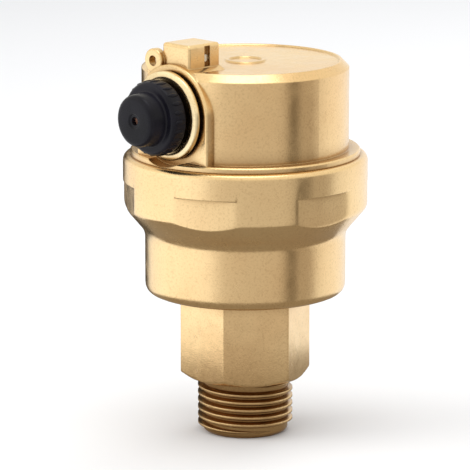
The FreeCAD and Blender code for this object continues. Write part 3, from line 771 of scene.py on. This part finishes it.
# %% [markdown]
# ## Helical threads
#
# The design draws its threads as plain rings, which is enough to fit them. To the eye a thread
# climbs, and it starts with a tapered lead-in. A spiral curve gives the path, a four-cornered curve
# the section, and Curve to Mesh sweeps one along the other. Its Scale fades at both ends of the
# spiral, which makes the run-in and the run-out. On a spiral whose normals are Z up, a section's
# first axis points at the middle, so the ridge's depth is negative.

# %% Helix rule
SPIRAL_STEPS = 96
WIRE_SIDES = 16


def ridge_profile(tree, sizes):
    """Section of a thread's ridge: wide at the root, narrow at the crest, standing outwards."""
    ridge = tree.nodes.new("GeometryNodeCurvePrimitiveQuadrilateral")
    ridge.mode = "POINTS"
    outwards = maths(tree, "MULTIPLY", sizes["Depth"], -1.0)
    root, crest = sizes["Root Half"], sizes["Crest Half"]
    under_root = maths(tree, "MULTIPLY", root, -1.0)
    under_crest = maths(tree, "MULTIPLY", crest, -1.0)
    corners = ((0.0, under_root), (outwards, under_crest), (outwards, crest), (0.0, root))
    for socket, (depth, height) in zip(ridge.inputs[-4:], corners):
        tree.links.new(vector(tree, depth, height), socket)
    return ridge.outputs[0]


def helix_tree(finish):
    """Sweep a ridge, or a round wire, along a spiral that climbs Z from a start height."""
    names = ["Radius", "Start", "Height", "Turns", "Depth", "Root Half", "Crest Half", "Fade",
             "Wire"]
    tree, sizes, output = start_nodes("helix", names)
    radius = sizes["Radius"]
    spiral = place(tree, "GeometryNodeCurveSpiral", Resolution=SPIRAL_STEPS,
                   Rotations=sizes["Turns"], Start_Radius=radius, End_Radius=radius,
                   Height=sizes["Height"])
    upright = place(tree, "GeometryNodeSetCurveNormal", Curve=spiral.outputs[0])
    upright.mode = "Z_UP"
    along = tree.nodes.new("GeometryNodeSplineParameter").outputs["Factor"]
    from_end = maths(tree, "MINIMUM", along, maths(tree, "SUBTRACT", 1.0, along))
    swell = maths(tree, "MINIMUM", 1.0, maths(tree, "DIVIDE", from_end, sizes["Fade"]))
    wire = place(tree, "GeometryNodeCurvePrimitiveCircle", Resolution=WIRE_SIDES,
                 Radius=sizes["Wire"])
    section = tree.nodes.new("GeometryNodeSwitch")
    section.input_type = "GEOMETRY"
    feed(tree, section.inputs["Switch"], maths(tree, "GREATER_THAN", sizes["Wire"], 0.0))
    feed(tree, section.inputs["False"], ridge_profile(tree, sizes))
    feed(tree, section.inputs["True"], wire.outputs[0])
    sweep = place(tree, "GeometryNodeCurveToMesh", Curve=upright.outputs[0],
                  Profile_Curve=section.outputs[0], Scale=swell, Fill_Caps=True)
    finish_nodes(tree, raised(tree, sweep.outputs[0], sizes["Start"]), output, finish)
    return tree


# %% Helix piece
HELIX_WELD = 1e-8
HELIX_SHARP = 25


def helix(name, finish, tree, radius, start, height, turns, depth=0.0, root=0.0, crest=0.0,
          fade=0.03, wire=0.0):
    """A ridge or wire along a spiral, with sizes in millimetres."""
    sizes = {"Radius": radius * MM, "Start": start * MM, "Height": height * MM, "Turns": turns,
             "Depth": depth * MM, "Root Half": root * MM, "Crest Half": crest * MM, "Fade": fade,
             "Wire": wire * MM}
    made = run_nodes(name, bpy.data.meshes.new(name), tree, sizes, finish)
    tidy_mesh(made.data, HELIX_WELD)
    smooth_shade(made.data, HELIX_SHARP)
    reach = max(math.hypot(v.co.x, v.co.y) for v in made.data.vertices)
    print(name, "reaches radius", round(reach / MM, 3), "mm")
    return made


# %% Inlet thread
INLET_PITCH = 1.337
INLET_TURNS = 6.1
INLET_CREST = 8.33
INLET_START = -9.0
SUNK = 0.02

inlet_thread = helix(
    "inlet_thread", forged_brass, helix_tree(forged_brass), INLET_CORE - SUNK, INLET_START,
    INLET_TURNS * INLET_PITCH, INLET_TURNS, depth=INLET_CREST - INLET_CORE + SUNK,
    root=0.60, crest=0.16, fade=0.05)

for piece in (forged_body, inlet_thread):
    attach(piece, "base")
    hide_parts("body")

# %% [markdown]
# ## The outlet seat
#
# The seat is turned from bar and screwed into the boss. Its flange shows as a bright ring round the
# cap, because its face is a shallow cone that looks a little outwards and catches light past the
# cap. It is one lathe outline about the outlet's axis: the coned flange, the spigot that the cap
# screws on, the air hole through the middle and the raised lip that the rubber seal closes. Its
# two threads are the same sweep as the inlet's, turned to point along the outlet.

# %% Outlet helpers
OUTLET_HEIGHT = 48.3
OUTLET_TURN = Matrix.Rotation(math.radians(90), 4, "X")
TO_OUTLET = Matrix.Translation((0, 0, OUTLET_HEIGHT * MM)) @ OUTLET_TURN
OUTLET_SEGMENTS = 128
OUTLET_SHARP = 40


def to_outlet(piece):
    """Turn a piece made along +Z so that it points out of the boss, with its place in its mesh."""
    piece.data.transform(TO_OUTLET)
    return piece


def join(name, *pieces):
    """Join several pieces into the first one's mesh."""
    whole = bmesh.new()
    for piece in pieces:
        whole.from_mesh(piece.data)
    whole.to_mesh(pieces[0].data)
    whole.free()
    for piece in pieces[1:]:
        bpy.data.objects.remove(piece)
    pieces[0].name = name
    return pieces[0]


def turned_shell(name, outline, finish):
    """Lathe a small part's outline and give it its finish."""
    shell = new_object(name, lathe(name, soften(outline), OUTLET_SEGMENTS))
    shell.data.materials.append(finish)
    smooth_shade(shell.data, OUTLET_SHARP)
    return shell


print("outlet's axis is", OUTLET_HEIGHT, "mm above the hexagon's foot")

# %% Seat
# Each row is a radius, a distance along the outlet, a corner radius, and 0 for no flat.
seat_outline = [
    (3.5, 14.0, 0.1, 0), (4.2, 14.0, 0.15, 0), (4.2, 18.1, 0.1, 0), (7.7, 18.1, 0.2, 0),
    (7.7, 18.95, 0.25, 0), (6.85, 19.3, 0.2, 0), (6.5, 19.15, 0.1, 0), (3.5, 19.15, 0.2, 0),
    (3.5, 22.7, 0.2, 0), (1.5, 22.7, 0.15, 0), (1.5, 20.0, 0.1, 0), (0.9, 19.3, 0.1, 0),
    (0.9, 16.9, 0.05, 0), (1.5, 16.9, 0.05, 0), (1.7, 16.5, 0.08, 0), (1.9, 16.5, 0.08, 0),
    (2.1, 16.9, 0.05, 0), (3.5, 16.9, 0.1, 0),
]
seat_shell = turned_shell("seat_shell", seat_outline, turned_brass)
seat_helix = helix_tree(turned_brass)
shank_thread = helix("shank_thread", turned_brass, seat_helix, 4.18, 14.25, 3.3, 4.4, depth=0.37,
                     root=0.36, crest=0.1, fade=0.06)
spigot_thread = helix("spigot_thread", turned_brass, seat_helix, 3.48, 19.75, 2.5, 2.5, depth=0.52,
                      root=0.46, crest=0.14, fade=0.08)
turned_seat = to_outlet(join("turned_seat", seat_shell, shank_thread, spigot_thread))
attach(turned_seat, "head")
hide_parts("outlet_seat")
print("seat has", len(turned_seat.data.polygons), "faces")

# %% [markdown]
# ## The vent cap
#
# The cap is moulded in black plastic: a base with grip ribs for the fingers and a smaller nose with
# a vent hole. The shell is a lathe outline. Geometry Nodes set the ribs: a mesh circle gives one
# point for each rib, and a rounded bar is placed on each point and turned to face outwards. Real
# ribs stop short of the rim at both ends, so each bar is a stretched sphere sunk half into the skin.

# %% Rib rule
BAR_SEGMENTS, BAR_RINGS = 12, 10


def ribs_tree(finish):
    """Set rounded bars round a circle, each pointing outwards."""
    names = ["Radius", "Height", "Ribs", "Length", "Width", "Proud"]
    tree, sizes, output = start_nodes("grip_ribs", names)
    count = place(tree, "FunctionNodeFloatToInt", Float=sizes["Ribs"])
    ring = place(tree, "GeometryNodeMeshCircle", Vertices=count.outputs[0], Radius=sizes["Radius"])
    bar = place(tree, "GeometryNodeMeshUVSphere", Segments=BAR_SEGMENTS,
                Rings=BAR_RINGS, Radius=1.0)
    half_width = maths(tree, "DIVIDE", sizes["Width"], 2.0)
    half_length = maths(tree, "DIVIDE", sizes["Length"], 2.0)
    here = tree.nodes.new("GeometryNodeInputPosition").outputs[0]
    facing = place(tree, "FunctionNodeAlignRotationToVector", Vector=here)
    facing.axis = "X"
    stretch = vector(tree, sizes["Proud"], half_width, half_length)
    scatter = place(tree, "GeometryNodeInstanceOnPoints", Points=ring.outputs[0],
                    Instance=bar.outputs[0], Rotation=facing.outputs[0], Scale=stretch)
    finish_nodes(tree, raised(tree, scatter.outputs[0], sizes["Height"]), output, finish)
    return tree


ribs = ribs_tree(black_plastic)

# %% Cap
CAP_RIBS = 24
CAP_SKIN = 6.33
CAP_RIM = 6.55
RIB_MIDDLE = 21.35
RIB_LENGTH = 2.3
RIB_WIDTH = 0.85

cap_outline = [
    (4.5, 19.8, 0.15, 0), (5.95, 19.8, 0.1, 0), (CAP_SKIN, 20.1, 0.25, 0),
    (CAP_SKIN, 22.5, 0.35, 0), (5.85, 23.0, 0.4, 0), (4.62, 23.0, 0.35, 0), (4.45, 26.3, 0.95, 0),
    (1.3, 26.3, 0.15, 0), (1.1, 26.1, 0.15, 0), (0.7, 26.05, 0.1, 0), (0.7, 25.3, 0, 0),
    (3.3, 25.3, 0.2, 0), (3.3, 23.35, 0, 0), (4.1, 23.35, 0.1, 0), (4.1, 20.2, 0.1, 0),
]
cap_shell = turned_shell("cap_shell", cap_outline, black_plastic)
rib_sizes = {"Radius": CAP_SKIN * MM, "Height": RIB_MIDDLE * MM, "Ribs": CAP_RIBS,
             "Length": RIB_LENGTH * MM, "Width": RIB_WIDTH * MM,
             "Proud": (CAP_RIM - CAP_SKIN) * MM}
cap_ribs = run_nodes("cap_ribs", bpy.data.meshes.new("cap_ribs"), ribs, rib_sizes, black_plastic)
moulded_cap = to_outlet(join("moulded_cap", cap_shell, cap_ribs))
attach(moulded_cap, "cap")
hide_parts("vent_cap")
print("cap has", len(moulded_cap.data.polygons), "faces")

# %% [markdown]
# ## The closing spring
#
# The little spring pushes the valve shut, and it is compressed here because the valve stands open.
# It is the helix tree once more, this time with a round wire, so one rule serves threads and
# springs alike. Its ends simply stop against the bracket and the washer, as on a spring cut from
# long stock.

# %% Spring
SPRING_RADIUS = 2.0
SPRING_START = 11.51
SPRING_RISE = 1.78
SPRING_TURNS = 3.0
SPRING_WIRE = 0.18

coil = to_outlet(helix(
    "coil_spring", stainless_steel, helix_tree(stainless_steel), SPRING_RADIUS, SPRING_START,
    SPRING_RISE, SPRING_TURNS, fade=0.001, wire=SPRING_WIRE))
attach(coil, "head")
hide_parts("valve_spring")
